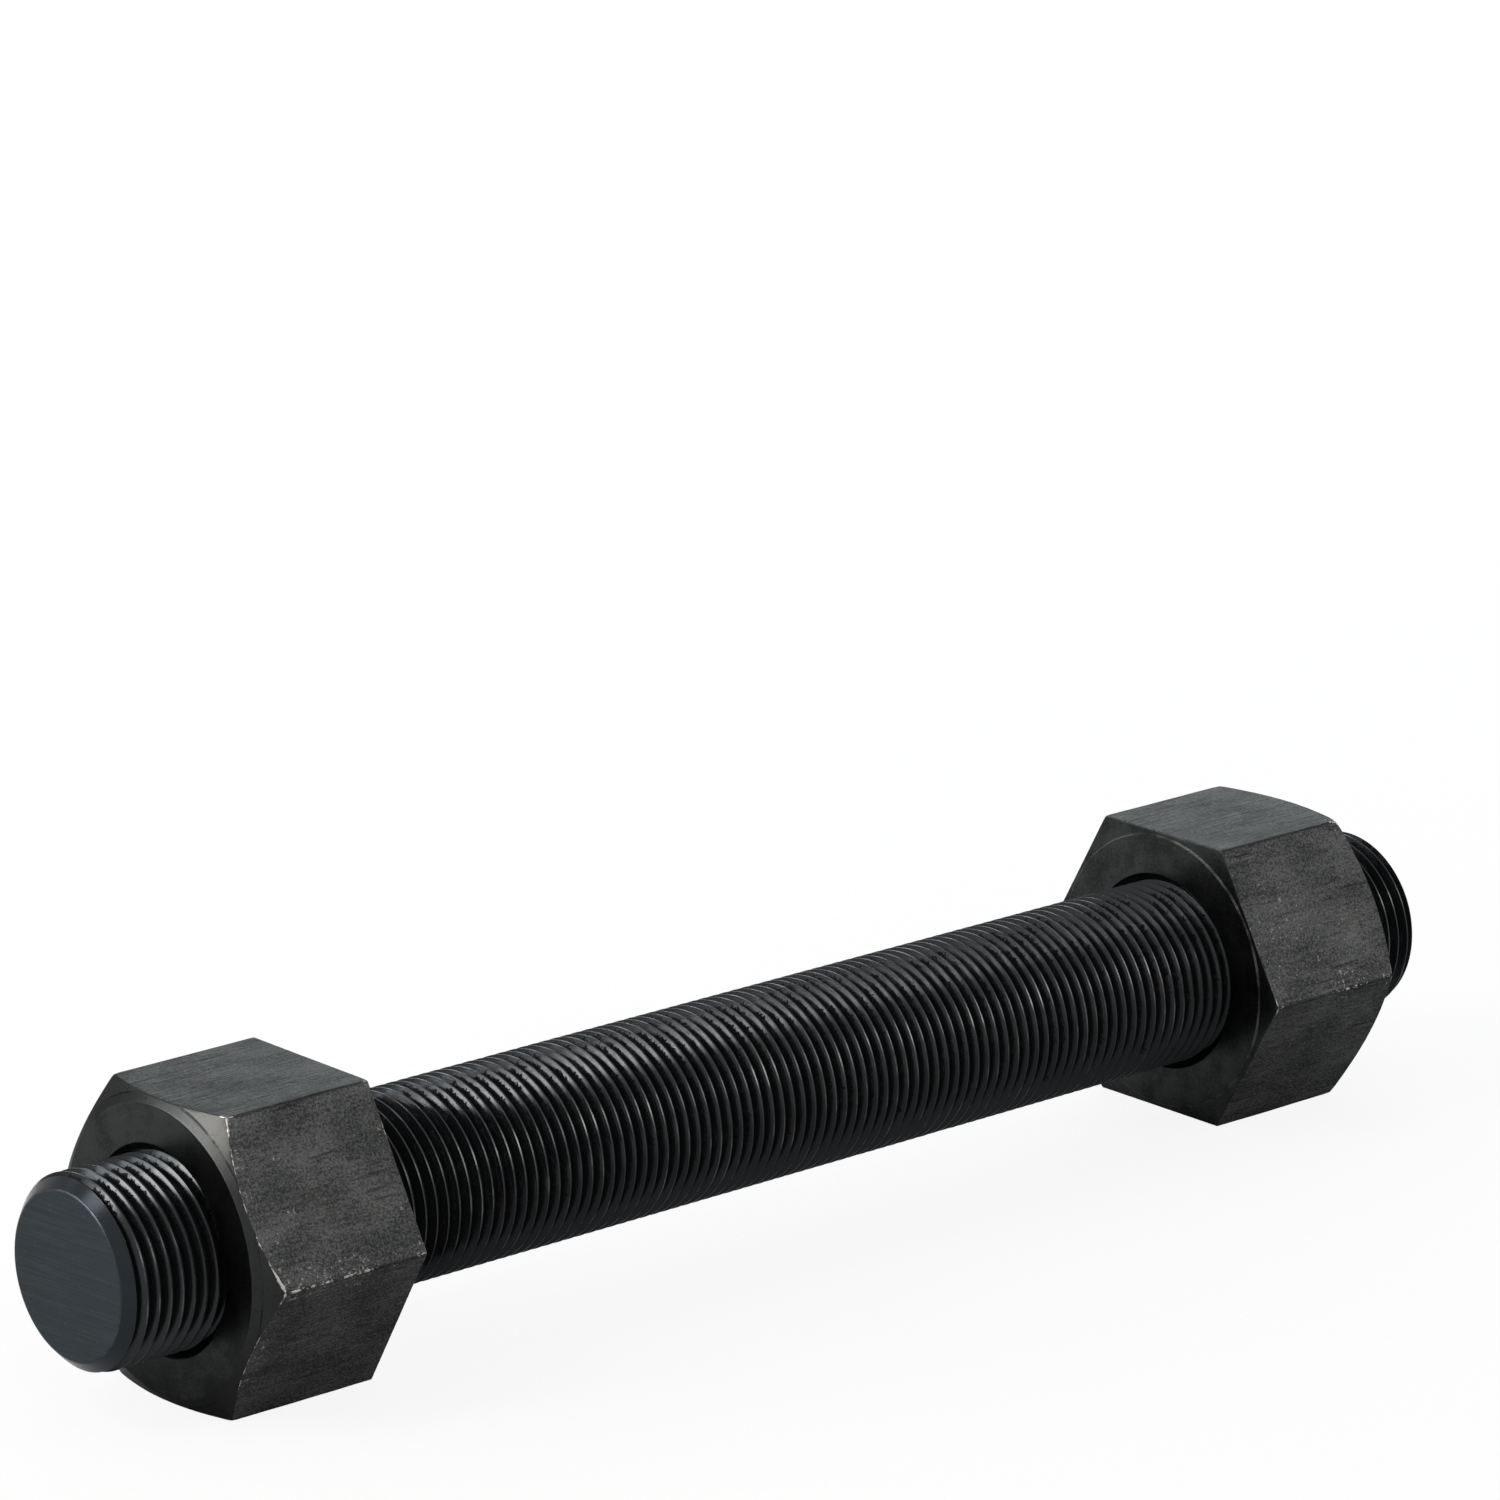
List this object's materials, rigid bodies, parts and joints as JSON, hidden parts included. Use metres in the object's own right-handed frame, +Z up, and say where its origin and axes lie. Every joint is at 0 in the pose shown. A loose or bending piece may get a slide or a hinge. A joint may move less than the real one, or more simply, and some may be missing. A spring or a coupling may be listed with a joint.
{
  "type": "stud bolt with heavy hex nuts",
  "caption": "Fully threaded stud bolt lying on its side, with a heavy hex nut run onto each end, for clamping flanges together.",
  "frame": {"origin": "on the stud's axis, halfway along its length", "axes": "+X along the stud towards the far nut, +Z up out of the nuts' top flats, +Y across the stud through the nuts' corners"},
  "size_m": [0.3938, 0.08, 0.0692],
  "materials": {
    "stud_steel": "black oxide, oiled, glossy cut thread",
    "nut_steel": "black oxide over forging scale, matt, bare metal at worn edges"
  },
  "bodies": {
    "stud": {"threaded_stud": "stud_steel"},
    "near_nut": {"near_nut": "nut_steel"},
    "far_nut": {"far_nut": "nut_steel"}
  },
  "joints": [
    {"name": "near_nut_travel", "type": "slide", "parent": "stud", "child": "near_nut", "axis": [1, 0, 0], "range_m": [-0.06985, 0.127]},
    {"name": "far_nut_travel", "type": "slide", "parent": "stud", "child": "far_nut", "axis": [-1, 0, 0], "range_m": [-0.06985, 0.127]}
  ]
}
